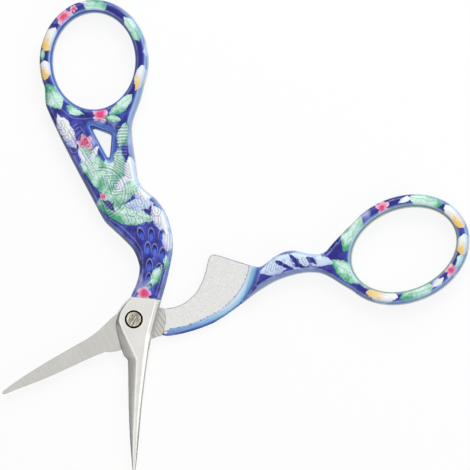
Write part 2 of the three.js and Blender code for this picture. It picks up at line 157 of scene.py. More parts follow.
class BladeSettings(PropertyGroup):
    """Sizes and colours of the two blades."""

    grid: size("Grid", "Spacing of the even mesh of a blade", 0.1)
    crisp: size("Crisp edge", "Height above the mating face that keeps its edges", 0.4)
    edge_passes: passes("Edge rounding", "Smoothing passes on the whole blade", 6)
    belly: size("Belly", "How far a ground facet bows out in its middle", 0.07)
    ridge_passes: passes("Ridge rounding", "Smoothing passes on the outer ridges", 40)
    grind_pitch: size("Grinding pitch", "Spacing of the lines on the inner face", 0.3)
    satin_pitch: size("Satin pitch", "Spacing of the finer lines on the outer faces", 0.1)
    grind_length: size("Grinding length", "Length of one grinding line", 5)
    ride_pitch: size("Ride pitch", "Spacing of the coarse lines behind the pivot", 0.95)
    # The dark recess round the screw is painted shade, with oil
    oil_and_shade: size("Oiled recess", "Radius of the dark recess round the screw", 2.12)
    land: colour("Satin land", "Outer faces of the upper blade", "#e1e0dc")
    inner: colour("Ground inner face", "Flat inner face of the lower blade", "#c7c6c1")


class HandleSettings(PropertyGroup):
    """Sizes and colours of the two handles."""

    grid: size("Grid", "Spacing of the even mesh of a handle", 0.24)
    coat: size("Coat", "Thickness that primer, print and lacquer add", 0.09)
    coat_passes: passes("Coat rounding", "Smoothing passes on coated surfaces", 11)
    bare_passes: passes("Bare rounding", "Smoothing passes on ground surfaces", 3)
    line_width: size("Line width", "Half width of an embossed line", 0.16)
    line_height: size("Line height", "Height of an embossed line", 0.12)
    pit_depth: size("Feather depth", "Depth of a feather cell at its upper end", 0.3)
    indigo: colour("Indigo", "Ground of the print", "#120a78")
    violet: colour("Violet", "Paler washes in the ground", "#3f4cb8")
    # Lilac also lays the painted highlights on crests, lips and corners
    lilac: colour("Lilac", "Pale clouds and rubbed ridges", "#b4bbe8")
    # Royal darkens the foot of the side walls as painted shade and brightens the feather cell floors as painted
    # light; sky walls are palest towards the light, as painted light
    royal: colour("Royal blue", "Feather cells, and foot of the side walls", "#355cca")
    sky: colour("Sky blue", "Side walls, where the print thins", "#7aabec")
    cobalt: colour("Cobalt", "Inside of the upper bow", "#3f6cc0")
    slate: colour("Slate", "Inside of the lower bow", "#a2c2b0")
    ice: colour("Ice blue", "Middle of the band along the bare face", "#8fcbf0")
    haze: colour("Haze", "Near white along the bare face and the walls", "#cfe4f4")
    mint: colour("Mint", "Leaves", "#3fa376")
    pale_mint: colour("Pale mint", "Lit parts of the leaves", "#d2f1e4")
    white: colour("White", "Petals", "#eef2f3")
    amber: colour("Amber", "Base of the petals", "#efc24e")
    pink: colour("Pink", "Blossoms", "#dc3f7c")
    pale_pink: colour("Pale pink", "Rim of the blossoms", "#f6c9d8")
    # Painted shade beside the embossed lines, in the cell ends and creases and on walls facing away from the
    # light; also the dark outline of the bare face
    pool: colour("Pooled paint", "Shade beside the embossed lines", "#46508c")
    bare: colour("Bare steel", "Ground mating faces", "#e2e2e0")


class ScrewSettings(PropertyGroup):
    """Sizes and colour of the pivot screw."""

    shank_radius: size("Shank radius", "Radius of the shank", 1.25)
    head_radius: size("Head radius", "Radius of the head", 1.85)
    head_height: size("Head height", "Straight part of the head", 0.9)
    dome: size("Dome", "Height of the dome on the head", 0.35)
    slot_width: size("Slot width", "Width of the driver slot", 0.8)
    slot_depth: size("Slot depth", "Depth of the driver slot under the dome", 0.5)
    slot_angle: angle("Slot angle", "Slot, from the X axis", 62)
    nickel: colour("Nickel", "Plated steel of the screw", "#d8d0bf")


class StageSettings(PropertyGroup):
    """Camera, floor and light."""

    distance: size("Camera distance", "From the camera to the middle of the picture", 1500)
    view_width: size("View width", "Width of the picture at that distance", 114.85)
    middle_x: size("Middle X", "Middle of the picture", 24.63)
    middle_y: size("Middle Y", "Middle of the picture", 20.67)
    lean_x: angle("Lean right", "Camera, from overhead to the right", 4)
    lean_y: angle("Lean front", "Camera, from overhead to the front", 4.5)
    floor: colour("Floor", "Pale paper under the scissors", "#f4f4f4")
    floor_glow: number("Floor glow", "Share of the floor that is plain white", 0.88, min=0, max=1)
    ambient: number("Ambient", "Even light from all round", 0.36, min=0)
    key: number("Key light", "Power of the light at the back", 3.6, min=0, subtype="POWER")
    fill: number("Fill light", "Power of the light at the front right", 1.2, min=0, subtype="POWER")


# Meshes


def to_object(bm, name):
    """Turns a bmesh into a smooth-shaded object in the scene."""
    mesh = bpy.data.meshes.new(name)
    bm.to_mesh(mesh)
    bm.free()
    mesh.shade_smooth()
    made = bpy.data.objects.new(name, mesh)
    bpy.context.scene.collection.objects.link(made)
    return made


def even_copy(node, name, grid):
    """A CAD node remeshed to even quads, as a bmesh."""
    bm = bmesh.new()
    bm.from_mesh(frame["nodes"][node].data)
    bmesh.ops.remove_doubles(bm, verts=bm.verts, dist=MERGE)
    made = to_object(bm, name)
    remesh = made.modifiers.new("Even", "REMESH")
    remesh.mode = "VOXEL"
    remesh.voxel_size = grid
    bm = bmesh.new()
    bm.from_object(made, bpy.context.evaluated_depsgraph_get())
    rough = made.data
    bpy.data.objects.remove(made)
    bpy.data.meshes.remove(rough)
    return bm


def smooth(bm, verts, count):
    """Relaxes some vertices of a bmesh."""
    for _ in range(count):
        bmesh.ops.smooth_vert(
            bm, verts=verts, factor=0.5, use_axis_x=True, use_axis_y=True, use_axis_z=True
        )


def points_of(mesh):
    """Vertex places in millimetres, and vertex normals."""
    count = len(mesh.vertices)
    places = np.zeros(count * 3, np.float32)
    normals = np.zeros(count * 3, np.float32)
    mesh.vertices.foreach_get("co", places)
    mesh.vertex_normals.foreach_get("vector", normals)
    return places.reshape(-1, 3).astype(float) / MM, normals.reshape(-1, 3).astype(float)


def set_points(mesh, places):
    """Moves the vertices to places given in millimetres."""
    mesh.vertices.foreach_set("co", (places * MM).astype(np.float32).ravel())
    mesh.update()


def step(low, high, value):
    """0 below low, 1 above high and smooth between."""
    share = np.clip((value - low) / (high - low), 0, 1)
    return share * share * (3 - 2 * share)


def turned(points, turn):
    """XY points turned about the pivot."""
    c, s = math.cos(turn), math.sin(turn)
    return points @ np.array([[c, s], [-s, c]])


# Embossed relief: all lines are in millimetres, with the scissors closed


def arc(x, y, radius, start, end, count=24):
    """Points of a round arc, with its angles in degrees."""
    turn = np.radians(np.linspace(start, end, count))
    return np.column_stack((x + radius * np.cos(turn), y + radius * np.sin(turn)))


def flowing(*points, count=8):
    """A smooth line through a few points."""
    knots = np.array([points[0], *points, points[-1]], float)
    t = np.linspace(0, 1, count, endpoint=False)[:, None]
    spans = []
    for a, b, c, d in zip(knots, knots[1:], knots[2:], knots[3:]):
        bend = 2 * a - 5 * b + 4 * c - d
        twist = 3 * b - a - 3 * c + d
        spans.append(b + 0.5 * t * (c - a) + 0.5 * t**2 * bend + 0.5 * t**3 * twist)
    return np.vstack([*spans, knots[-1:]])


def rings(corners, *scales):
    """Closed outlines nested about the middle of the corners."""
    outline = np.array([*corners, corners[0]], float)
    middle = outline[:-1].mean(axis=0)
    return [middle + scale * (outline - middle) for scale in scales]


def hatch(start, end, stroke, count):
    """Parallel strokes whose lower ends are spread evenly from start to end."""
    first, last, stroke = np.array(start), np.array(end), np.array(stroke)
    lower = [first + (last - first) * i / (count - 1) for i in range(count)]
    return [np.array([p, p + stroke]) for p in lower]


def scallop(x, y, width, length, lean):
    """A U-shaped line, open at its upper end."""
    turn = np.radians(np.linspace(180, 360, 12))
    u = np.array([-1, -1, *np.cos(turn), 1, 1])
    v = np.array([1, 0.3, *np.sin(turn) * 0.8 + 0.1, 0.3, 1])
    line = np.column_stack((u * width / 2, v * length / 2))
    return turned(line, math.radians(lean)) + np.array([x, y])


# Feather cells of the neck: x, y, length, width, lean in degrees
NECK_CELLS = [
    (1.9, 20.6, 3.3, 1.4, 20),
    (4.3, 20.5, 3.2, 1.3, 4),
    (7.0, 20.3, 3.5, 1.6, 0),
    (3.4, 17.1, 3.2, 1.25, 0),
    (5.1, 16.7, 3.0, 1.25, 0),
    (7.0, 15.6, 3.6, 1.4, -6),
    (3.8, 12.9, 3.2, 1.3, -4),
    (6.0, 12.1, 2.8, 1.25, -12),
    (3.6, 9.9, 2.5, 1.2, -6),
    (3.8, 7.5, 2.9, 1.4, -14),
]
# Feather tips of the chest: x, y, width, length, lean in degrees
CHEST_TIPS = [
    (0.6, 30.6, 1.5, 2.3, 25),
    (1.6, 28.5, 1.5, 2.3, 20),
    (-1.2, 28.3, 1.5, 2.5, 25),
    (3.8, 27.6, 1.6, 2.4, 15),
    (-0.4, 26.2, 1.5, 2.4, 25),
    (1.7, 26.2, 1.5, 2.4, 20),
    (5.6, 26.3, 1.5, 2.4, 10),
    (-1.7, 24.1, 1.5, 2.4, 30),
    (0.1, 23.8, 1.5, 2.4, 25),
    (1.9, 23.9, 1.5, 2.4, 20),
    (3.6, 24.6, 1.5, 2.4, 15),
    (5.6, 23.6, 1.5, 2.4, 5),
]
# Feather tips down the edge of the leg, in the same way
LEG_TIPS = [(-18.0 + 0.83 * i, 47.4 - 1.5 * i, 1.5, 1.7, 30) for i in range(5)]
# The neck with its borders, and the chest
BODY_LINES = [
    flowing((-6.3, 24.6), (-4.1, 23.4), (-1.9, 21.5), (0.4, 19.2), (1.9, 16.6), (2.2, 13.5)),
    flowing((8.5, 20.5), (8.4, 17.5), (7.6, 13.4), (6.5, 9.6), (5.4, 5.9)),
    *(scallop(*tip) for tip in CHEST_TIPS),
]
WING_LINES = [
    arc(-8.1, 31.2, 6.4, -72, 118),
    arc(-8.1, 31.2, 5.6, -70, 112),
    [(-11.7, 38.6), (-10.0, 35.2)],
    [(-4.0, 35.4), (-7.7, 35.4), (-6.9, 32.9)],
    *rings([(-6.3, 34.2), (-3.4, 34.2), (-2.3, 30.9), (-5.2, 30.7)], 1, 0.62, 0.25),
    *rings([(-8.7, 31.7), (-5.6, 30.0), (-4.4, 28.5), (-6.7, 26.3)], 1, 0.62, 0.28),
    *rings([(-10.7, 37.2), (-9.8, 38.2), (-8.8, 37.5), (-9.7, 36.4)], 1, 0.4),
    *hatch((-4.9, 39.9), (-4.2, 36.9), (3.3, -2.1), 5),
]
LEG_LINES = [
    *hatch((-4.3, 40.3), (-4.0, 47.2), (2.4, 0.1), 10),
    [(-15.6, 46.2), (-11.0, 38.6)],
    [(-13.2, 47.3), (-9.0, 40.2)],
    *hatch((-15.1, 47.2), (-11.1, 40.6), (1.0, 0.75), 9),
    *hatch((-14.4, 44.9), (-11.3, 39.8), (0.9, 0.65), 7),
    flowing((-17.6, 51.4), (-15.1, 49.5), (-12.4, 49.2), (-8.6, 49.3), (-5.6, 48.0), (-4.6, 46.3)),
    *(scallop(*tip) for tip in LEG_TIPS),
]
# Edge of the gap between the legs
LEG_WINDOW = rings([(-10.6, 47.7), (-5.6, 46.0), (-5.9, 39.4)], 1)[0]
# The shin of the lower handle, as the scissors lie
SHIN_LINES = [
    *hatch((32.5, 11.5), (36.2, 12.5), (0.4, 1.6), 4),
    *hatch((39.4, 12.9), (40.6, 13.2), (-0.8, 1.4), 2),
    *hatch((41.9, 13.4), (44.6, 13.6), (-0.6, 1.2), 3),
]
SHIN_CELLS = [(45.7, 15.2, 1.3, 1.1, -60), (47.5, 16.6, 1.4, 1.2, -50), (49.5, 18.6, 1.5, 1.2, -40)]
# Outer edge of the bare mating face of the lower handle, as the scissors lie
LOWER_EDGE = flowing(
    *[(6.0, -2.4), (11.5, -1.7), (14.9, -0.7), (18.0, 0.75), (21.0, 2.4)],
    *[(23.2, 4.2), (25.0, 6.1), (26.9, 9.3), (28.1, 13.0), (28.8, 17.0)],
)
# The upper mating face is bare all over, so the edge of its paint lies beyond the handle
UPPER_EDGE = np.array([(100.0, -100.0), (100.0, 200.0)])


def distance_past(points, line):
    """Least distance from each point to a line of points, below 0 on the left of the line."""
    least = np.full(len(points), np.inf)
    for a, b in zip(line[:-1], line[1:]):
        along = b - a
        share = np.clip((points - a) @ along / (along @ along), 0, 1)
        off = points - a - share[:, None] * along
        away = np.copysign(np.linalg.norm(off, axis=1), off @ np.array((along[1], -along[0])))
        least = np.where(np.abs(away) < np.abs(least), away, least)
    return least


def embossed(points, lines, width):
    """How high each point lies on the raised lines, and how deep in the channels beside them."""
    reach, channel = 5, 1.9  # in half widths of a line
    softness = 0.5  # of the channel, in half widths squared
    crest = np.zeros(len(points))
    foot = np.zeros(len(points))
    for line in lines:
        line = np.asarray(line, float)
        low, high = line.min(axis=0) - reach * width, line.max(axis=0) + reach * width
        near = np.all((points > low) & (points < high), axis=1)
        if near.any():
            away = np.abs(distance_past(points[near], line)) / width
            crest[near] = np.maximum(crest[near], np.exp(-(away**2)))
            foot[near] = np.maximum(foot[near], np.exp(-((away - channel) ** 2) / softness))
    return crest, foot * (1 - crest)


def sunken(points, cells):
    """Depth in the feather cells, their shallow floor and the lip round their upper ends."""
    lip_place, lip_width = 1.14, 0.13  # in half sizes of a cell
    depth, floor, lip = np.zeros((3, len(points)))
    for x, y, length, width, lean in cells:
        local = turned(points - np.array([x, y]), -math.radians(lean))
        u, v = local[:, 0] / (width / 2), local[:, 1] / (length / 2)
        away = np.hypot(u, v)
        inside = step(1.0, 0.75, away)
        depth = np.maximum(depth, inside * (0.2 + 0.8 * step(-0.9, 0.7, v)))
        floor = np.maximum(floor, step(0.95, 0.6, away) * step(0.8, 0.0, v))
        rim = np.exp(-(((away - lip_place) / lip_width) ** 2))
        lip = np.maximum(lip, rim * step(-0.9, 0.4, v))
    return depth, floor, lip


def emboss(mesh, outward, lines, cells, turn, settings):
    """Presses the relief into one side of a handle and returns what its material reads."""
    places, normals = points_of(mesh)
    flat = turned(places[:, :2], turn)
    side = step(0.6, 0.9, outward * normals[:, 2])
    crest, foot = embossed(flat, lines, settings.line_width / MM)
    pit, floor, lip = sunken(flat, cells)
    proud = max(outward, 0)  # the underside lies on the table, so nothing stands proud of it
    line = (proud * crest - (1 - 0.5 * proud) * foot) * settings.line_height
    cell = (0.25 * proud * lip - pit) * settings.pit_depth
    places[:, 2] += outward * side * (line + cell) / MM
    places[:, 2] = np.maximum(places[:, 2], 0)
    set_points(mesh, places)
    # Painted shade in the channels and at the upper ends of the cells, painted light on the cell floors, painted
    # highlights on the crests and lips
    return {
        "pooled": side * np.maximum(0.6 * foot, pit * (1 - floor)),
        "cell_floor": side * floor,
        "ridge": side * np.maximum(0.5 * crest, lip),
    }


def coated_handle(node, mating, bare_reach, wanted, settings):
    """An even copy of a handle: soft coated edges, a crisp mating face, finer where it is carved."""
    bm = even_copy(node, node + "_coated", settings.grid)
    coated = [
        v
        for v in bm.verts
        if abs(v.co.z - mating) / MM > FACE_MARGIN or math.hypot(v.co.x, v.co.y) / MM > bare_reach
    ]
    smooth(bm, bm.verts, settings.bare_passes)
    smooth(bm, coated, settings.coat_passes)
    bm.normal_update()
    for vert in coated:
        vert.co += vert.normal * settings.coat
    faces = [f for f in bm.faces if wanted(f.calc_center_median() / MM, f.normal)]
    edges = {e for f in faces for e in f.edges}
    bmesh.ops.subdivide_edges(bm, edges=list(edges), cuts=1, use_grid_fill=True)
    return to_object(bm, node + "_coated")


def close_joint(mesh, centre, radius, pull):
    """Draws the end of a handle up to its blade, because the two are one surface there."""
    places, _ = points_of(mesh)
    out = places[:, :2] - np.array(centre)
    away = np.linalg.norm(out, axis=1)
    share = step(*JOINT_SPAN, away - radius)
    places[:, :2] -= out * (pull * share / away)[:, None]
    set_points(mesh, places)


def spread(mesh, values, count):
    """Vertex values evened out along the edges."""
    ends = np.zeros(len(mesh.edges) * 2, np.int32)
    mesh.edges.foreach_get("vertices", ends)
    a, b = ends.reshape(-1, 2).T
    total = len(values)
    near = np.bincount(a, minlength=total) + np.bincount(b, minlength=total)
    for _ in range(count):
        around = np.bincount(a, values[b], total) + np.bincount(b, values[a], total)
        values = 0.5 * values + 0.5 * around / near
    return values


def bow_middle(name):
    """Middle of a finger hole in millimetres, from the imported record."""
    holes = {hole["name"]: hole["box_m"] for hole in frame["record"]["physics"]["openings"]}
    low, high = (np.array(corner[:2]) for corner in holes[name])
    return (low + high) / 2 / MM


def paint_zones(mesh, mating, facing, reach, edge, bow, start, least):
    """Where the print thins on side walls, with painted light on walls facing the light and painted shade on walls
    facing away, where it fades towards the bare face, and where it is ground off.
    """
    places, normals = points_of(mesh)
    flat, sideways = places[:, :2], normals[:, :2]
    radius = np.hypot(flat[:, 0], flat[:, 1])
    off_level = np.abs(places[:, 2] - mating / MM)
    upright = np.abs(normals[:, 2])
    toward_light = sideways @ np.array(LIGHT_SIDE)
    away_from_light = step(0, -0.4, toward_light)
    # Walls facing the light are painted paler, more so on the bows: painted light
    steep = 1 - upright + (0.1 + 0.4 * step(*BOW_WALLS, radius)) * toward_light
    wall = step(0.04, 0.32, steep) * (least + (1 - least) * step(-0.7, 0.1, toward_light))
    wall *= 0.5 + 0.5 * step(*PALE_WALLS, radius)
    away = np.linalg.norm(bow - flat, axis=1)
    inward = np.sum(sideways * (bow - flat), axis=1) / away
    near_face = step(*WEAR_END, radius - reach)
    shaded = near_face * step(0.55, 0.3, upright) * away_from_light
    past = distance_past(flat, edge)
    width = BAND_WIDTH + BAND_GAIN * step(*WIDE_BAND, radius)
    strength = 0.45 + 0.55 * step(*PALE_BAND, radius)
    bare = step(*FACE_DEPTH, off_level) * step(0.85, 0.98, facing * normals[:, 2])
    joint = step(*SEAT_END, radius - start) * step(*SEAT_DEPTH, off_level)
    brink = near_face * step(*BRINK_DEPTH, off_level) * away_from_light
    bare = np.maximum(bare * step(*FACE_END, radius - reach), brink) * step(*FACE_EDGE, past)
    outline = near_face * step(*OUTLINE_DEPTH, off_level) * np.exp(-((past / OUTLINE_WIDTH) ** 2))
    return {
        "wall": spread(mesh, np.maximum(wall, 0.8 * shaded), 2),
        "hollow": step(0.46, 0.7, inward) * step(*HOLE_WALL, away),
        "fade": strength * np.clip(1 - past / width, 0, 1) * (past > 0),
        "tilt": 1 - upright,
        # Painted shade on walls facing away from the light near the mating face, and a dark outline along the bare
        # face
        "pooled": np.maximum(0.7 * shaded, 0.6 * outline),
        "ground_off": spread(mesh, np.maximum(bare, joint), 5),
    }


# Every zone that a handle's material reads from its vertices
ZONES = ("wall", "hollow", "fade", "tilt", "pooled", "ground_off", "cell_floor", "ridge")


def keep_zones(mesh, *groups):
    """Keeps the highest value of each zone on the vertices."""
    for name in ZONES:
        values = np.maximum.reduce([group[name] for group in groups if name in group])
        kept = mesh.attributes.new(name, "FLOAT", "POINT")
        kept.data.foreach_set("value", values.astype(np.float32))


# Materials


# The field in which a kind of node keeps its mode
MODES = {
    "Math": "operation",
    "VectorMath": "operation",
    "MapRange": "interpolation_type",
    "Mapping": "vector_type",
    "Mix": "data_type",
}


def add(tree, kind, *values, out=0, **fields):
    """Adds a node such as "Math ADD", sets or links its inputs and returns one of its outputs.

    The values stand in the order of the sockets, or in one dictionary by socket.
    """
    kind, _, mode = kind.partition(" ")
    made = tree.nodes.new(kind if kind.startswith("Node") else "ShaderNode" + kind)
    if mode:
        setattr(made, MODES[kind], mode)
    for name, value in fields.items():
        setattr(made, name, value)
    named = values and isinstance(values[0], dict)
    for socket, value in values[0].items() if named else enumerate(values):
        if isinstance(value, bpy.types.NodeSocket):
            tree.links.new(value, made.inputs[socket])
        else:
            made.inputs[socket].default_value = value
    return made if out is None else made.outputs[out]


def rgba(values):
    """A colour property as the four numbers that a socket takes."""
    return (*values, 1)


def new_material(name):
    """An empty node material, and what adds nodes to it."""
    made = bpy.data.materials.new(name)
    made.use_nodes = True
    made.node_tree.nodes.clear()
    return made, partial(add, made.node_tree)


def bare_metal(put, tone, tint, rough, height, strength, depth):
    """Shader of a metal: its tone times a tint, and a bump of some strength and depth."""
    scaled = put("VectorMath SCALE", {0: tone, "Scale": tint})
    bump = put("Bump", {"Height": height, "Strength": strength, "Distance": depth})
    inputs = {"Base Color": scaled, "Metallic": 1, "Roughness": rough, "Normal": bump}
    return put("BsdfPrincipled", inputs)


def from_axis(put, place):
    """Distance from the axis of the pivot."""
    around = put("VectorMath MULTIPLY", place, (1, 1, 0))
    return put("VectorMath LENGTH", around, out="Value")


def ride_lines(put, place, settings):
    """Coarse slanting lines on the ride behind the pivot, as a share of the steel's own tone."""
    slant, length, start, blend = math.radians(-57), 8 * MM, 2.2 * MM, 0.6 * MM
    deep, shallow = LOWER_FACE - 0.5 * MM, LOWER_FACE - 0.2 * MM
    one_line = math.pi / 10  # the scale at which a wave has one line for each unit
    pitch = (length, settings.ride_pitch, length)
    lines = put("Mapping TEXTURE", place, (0, 0, 0), (0, 0, slant), pitch)
    inputs = {0: lines, "Scale": one_line, "Distortion": 2.5, "Detail": 3, "Detail Scale": 2}
    wave = put("TexWave", inputs, out=1, bands_direction="Y")
    line = put("MapRange", wave, 0.04, 0.3, 0.66, 0.97)
    x, _, z = put("SeparateXYZ", place, out=None).outputs
    behind = put("MapRange", x, start, start + blend)
    inner = put("MapRange", z, deep, shallow)
    where = put("Math MULTIPLY", behind, inner)
    return put("Mix", {0: where, 2: 1.0, 3: line})


def ground_steel(name, tone, turn, pitch, settings, cut, roughness, hatched):
    """Stainless steel, surface ground: fine straight lines, a satin sheen and a dark recess by the screw, painted
    shade with oil.
    """
    made, put = new_material(name)
    place = put("TexCoord", out="Object")
    stain_size, length, recess_edge = 4 * MM, settings.grind_length, settings.oil_and_shade
    lines = put("Mapping TEXTURE", place, (0, 0, 0), (0, 0, turn), (length, pitch, length))
    scratch = put("TexNoise", {0: lines, "Scale": 1, "Detail": 3, "Roughness": 0.6})
    stain = put("TexNoise", {0: place, "Scale": 1 / stain_size, "Detail": 4})
    shade = put("MapRange", scratch, 0.3, 0.7, 1 - 0.08 * cut, 1 + 0.05 * cut)
    cloud = put("MapRange", stain, 0.3, 0.7, 0.96, 1.03)
    tint = put("Math MULTIPLY", shade, cloud)
    if hatched:
        tint = put("Math MULTIPLY", tint, ride_lines(put, place, settings))
    # Painted shade with oil, nearly black, in the recess round the screw
    oil_and_shade = put("MapRange", from_axis(put, place), recess_edge * 0.95, recess_edge * 1.04, 0.06, 1)
    shaded_tint = put("Math MULTIPLY", tint, oil_and_shade)
    rough = put("MapRange", scratch, 0.3, 0.7, roughness + 0.07 * cut, roughness - 0.05 * cut)
    steel = bare_metal(put, tone, shaded_tint, rough, scratch, 0.2 * cut, 0.06 * pitch)
    put("OutputMaterial", steel, out=None)
    return made


def nickel_plate(settings):
    """Nickel-plated screw steel: warm grey, polished, with stains and driver marks whose streaks are partly
    painted reflection, painted shade with grime beside the slot, and painted shade with oil at its rim.
    """
    made, put = new_material("nickel plated steel")
    place = put("TexCoord", out="Object")
    mark_length, mark_width, mark_depth = 2 * MM, 0.3 * MM, 0.06 * MM
    turn, scale = (0, 0, settings.slot_angle), (mark_length, mark_width, MM)
    along = put("Mapping TEXTURE", place, (0, 0, 0), turn, scale)
    marks = put("TexNoise", {0: along, "Scale": 1, "Detail": 4, "Distortion": 0.6})
    # Light and dark streaks along the slot: stains and driver marks, with painted reflection
    tint = put("MapRange", marks, 0.35, 0.66, 0.3, 1.2)
    # Darker beside the walls of the slot: painted shade with grime
    off_middle = put("Math ABSOLUTE", put("SeparateXYZ", along, out=1))
    from_wall = put("Math SUBTRACT", off_middle, settings.slot_width / 2 / mark_width)
    beside = put("Math ABSOLUTE", from_wall)
    slot_grime_and_shade = put("MapRange", beside, 0.05, 0.5, 0.25, 1)
    tint = put("Math MULTIPLY", tint, slot_grime_and_shade)
    edge = settings.head_radius
    # Painted shade with oil, nearly black, round the rim of the head in its recess
    oil_and_shade = put("MapRange", from_axis(put, place), edge * 0.93, edge, 1, 0.06)
    shaded_tint = put("Math MULTIPLY", tint, oil_and_shade)
    rough = put("MapRange", marks, 0.3, 0.7, 0.36, 0.16)
    plate = bare_metal(put, settings.nickel, shaded_tint, rough, marks, 0.5, mark_depth)
    put("OutputMaterial", plate, out=None)
    return made


def motif_group(name):
    """An empty node group for one printed motif, laid over the colour under it."""
    group = bpy.data.node_groups.new(name, "ShaderNodeTree")
    sockets = {
        "Vector": ("Vector", "Location", "Rotation", "Scale"),
        "Color": ("Under", "Rim", "Heart"),
        "Float": ("Wash",),
    }
    for kind, labels in sockets.items():
        for label in labels:
            group.interface.new_socket(label, in_out="INPUT", socket_type="NodeSocket" + kind)
    group.interface.new_socket("Colour", in_out="OUTPUT", socket_type="NodeSocketColor")
    put = partial(add, group)
    given = put("NodeGroupInput", out=None).outputs
    # Wet edges wander with the colour under them, so the renderer works out one motif at a time
    reach = 0.3 * MM
    wander = put("VectorMath MULTIPLY_ADD", given["Under"], (reach, reach, 0), given["Vector"])
    local = put("Mapping TEXTURE", wander, *(given[label] for label in sockets["Vector"][1:]))
    return group, put, given, local


def lay_motif(put, given, share, low, high, inside):
    """Blends two colours of a motif and lays them over what is under it, inside its outline."""
    fill = put("Mix RGBA", {0: share, 6: low, 7: high}, out=2)
    laid = put("Mix RGBA", {0: inside, 6: given["Under"], 7: fill}, out=2)
    put("NodeGroupOutput", laid, out=None)


def leaf_motif(name, inward, forward, start, veined):
    """A pointed leaf or petal along X; its heart colour grows inward, forward and with the wash."""
    group, put, given, local = motif_group(name)
    x, y, _ = put("SeparateXYZ", local, out=None).outputs
    across = put("Math ABSOLUTE", y)
    square = put("Math MULTIPLY", x, x)
    half = put("Math SUBTRACT", 1.0, square)
    depth = put("Math SUBTRACT", half, across)
    inside = put("MapRange SMOOTHSTEP", depth, -0.02, 0.14)
    halves = put("MapRange", y, -0.06, 0.06, start, start + 0.22)
    inner = put("Math MULTIPLY_ADD", depth, inward, halves)
    ahead = put("Math MULTIPLY_ADD", x, forward, inner)
    deep = put("Math MULTIPLY_ADD", given["Wash"], 1.5, ahead)
    heart = put("MapRange SMOOTHSTEP", deep, 0.6, 1.25)
    blade = put("Mix RGBA", {0: heart, 6: given["Rim"], 7: given["Heart"]}, out=2)
    slant = put("Math MULTIPLY_ADD", across, -0.55, x)
    turns = put("Math MULTIPLY", slant, 22.0)
    wave = put("Math SINE", turns)
    veins = put("MapRange", wave, 0.7, 1, 0, veined)
    rib = put("MapRange", across, 0.02, 0.12, 1.6 * veined, 0)
    lines = put("Math MAXIMUM", veins, rib)
    lay_motif(put, given, lines, blade, given["Rim"], inside)
    return group


def blossom_motif():
    """A five-petalled blossom of radius 1, deep at its heart and pale at its rim."""
    group, put, given, local = motif_group("blossom")
    x, y, _ = put("SeparateXYZ", local, out=None).outputs
    radius = put("VectorMath LENGTH", local, out="Value")
    turn = put("Math ARCTAN2", y, x)
    lobes = put("Math MULTIPLY", turn, 2.5)
    wave = put("Math COSINE", lobes)
    bulge = put("Math ABSOLUTE", wave)
    reach = put("Math MULTIPLY_ADD", bulge, 0.42, 0.58)
    depth = put("Math SUBTRACT", reach, radius)
    inside = put("MapRange SMOOTHSTEP", depth, -0.05, 0.12)
    washed = put("Math MULTIPLY_ADD", given["Wash"], 0.9, radius)
    pale = put("MapRange", washed, 0.75, 1.35)
    lay_motif(put, given, pale, given["Heart"], given["Rim"], inside)
    return group


# Printed motifs as the scissors lie: kind, x, y, heading in degrees, half length, half width, in mm
UPPER_PRINT = [
    ("shade", -15.6, 75.8, 30, 6, 3),
    ("shade", -3.4, 75, 146, 5, 3),
    ("shade", 2.2, 65.2, 94, 6, 3),
    ("shade", -22, 65, 88, 4, 3),
    ("shade", 0.6, 55.4, 66, 5, 3),
    ("petal", -20.9, 68.9, 70, 3.4, 2.4),
    ("petal", -22, 61.4, 94, 2.4, 2.1),
    ("blossom", -17.3, 74.4, 20, 2.3, 2.3),
    ("leaf", -9.6, 77, 176, 3.2, 2.5),
    ("leaf", -0.3, 71.2, 122, 3.8, 2.2),
    ("petal", 1.5, 59.4, 72, 3.2, 1.7),
    ("leaf", -19.8, 54.8, -58, 3.7, 2.5),
    ("leaf", -3, 52.6, 42, 4, 1.7),
    ("blossom", -8.3, 50.4, 10, 2.2, 2.2),
    ("lily", -16.6, 46.2, 118, 5.2, 1.9),
    ("blossom", -12, 43.2, 40, 2.2, 2.2),
    ("leaf", -2.6, 45.2, 84, 3.2, 1.6),
    ("leaf", -9.4, 36.6, 118, 7, 3),
    ("lily", -0.6, 35.6, 100, 4.6, 2),
    ("leaf", -5.4, 35.4, 72, 7.2, 3.2),
    ("lily", 2, 31.2, 112, 4.4, 2),
    ("leaf", -3.8, 30.6, 30, 7, 2.7),
    ("leaf", -1.4, 25.6, -12, 6.8, 2.5),
    ("plume", 1.6, 28.2, 4, 3.6, 1.5),
    ("shade", -10.6, 32.6, 120, 2.8, 0.9),
    ("lily", -3, 33.6, 58, 2.8, 0.9),
    ("shade", -5.9, 28.2, -40, 2.4, 0.8),
    ("lily", -12.6, 40.2, 112, 2.6, 0.8),
    ("lily", 6.4, 24.6, 118, 4.2, 1.9),
    ("lily", 8.2, 19.6, 96, 3, 1.3),
    ("leaf", 5.2, 10.2, 62, 3.6, 1.3),
    ("blossom", -14.9, 76.2, 0, 0.9, 0.9),
    ("lily", 3, 66.4, 80, 2.2, 0.8),
    ("lily", -13.2, 78.2, 168, 1.7, 0.6),
    ("leaf", -22.6, 65, 86, 1.5, 0.7),
    ("leaf", -14.7, 51.3, -30, 2.4, 0.9),
    ("leaf", -5.2, 49.2, -10, 2.2, 0.9),
    ("blossom", -6, 41.6, 20, 0.9, 0.9),
    ("lily", -9.8, 40.8, 60, 2.2, 0.8),
    ("blossom", -7.6, 30.4, 20, 1, 1),
    ("leaf", 7.8, 14.2, 80, 1.8, 0.7),
    ("blossom", 2.6, 6.3, 0, 1.9, 1.9),
]
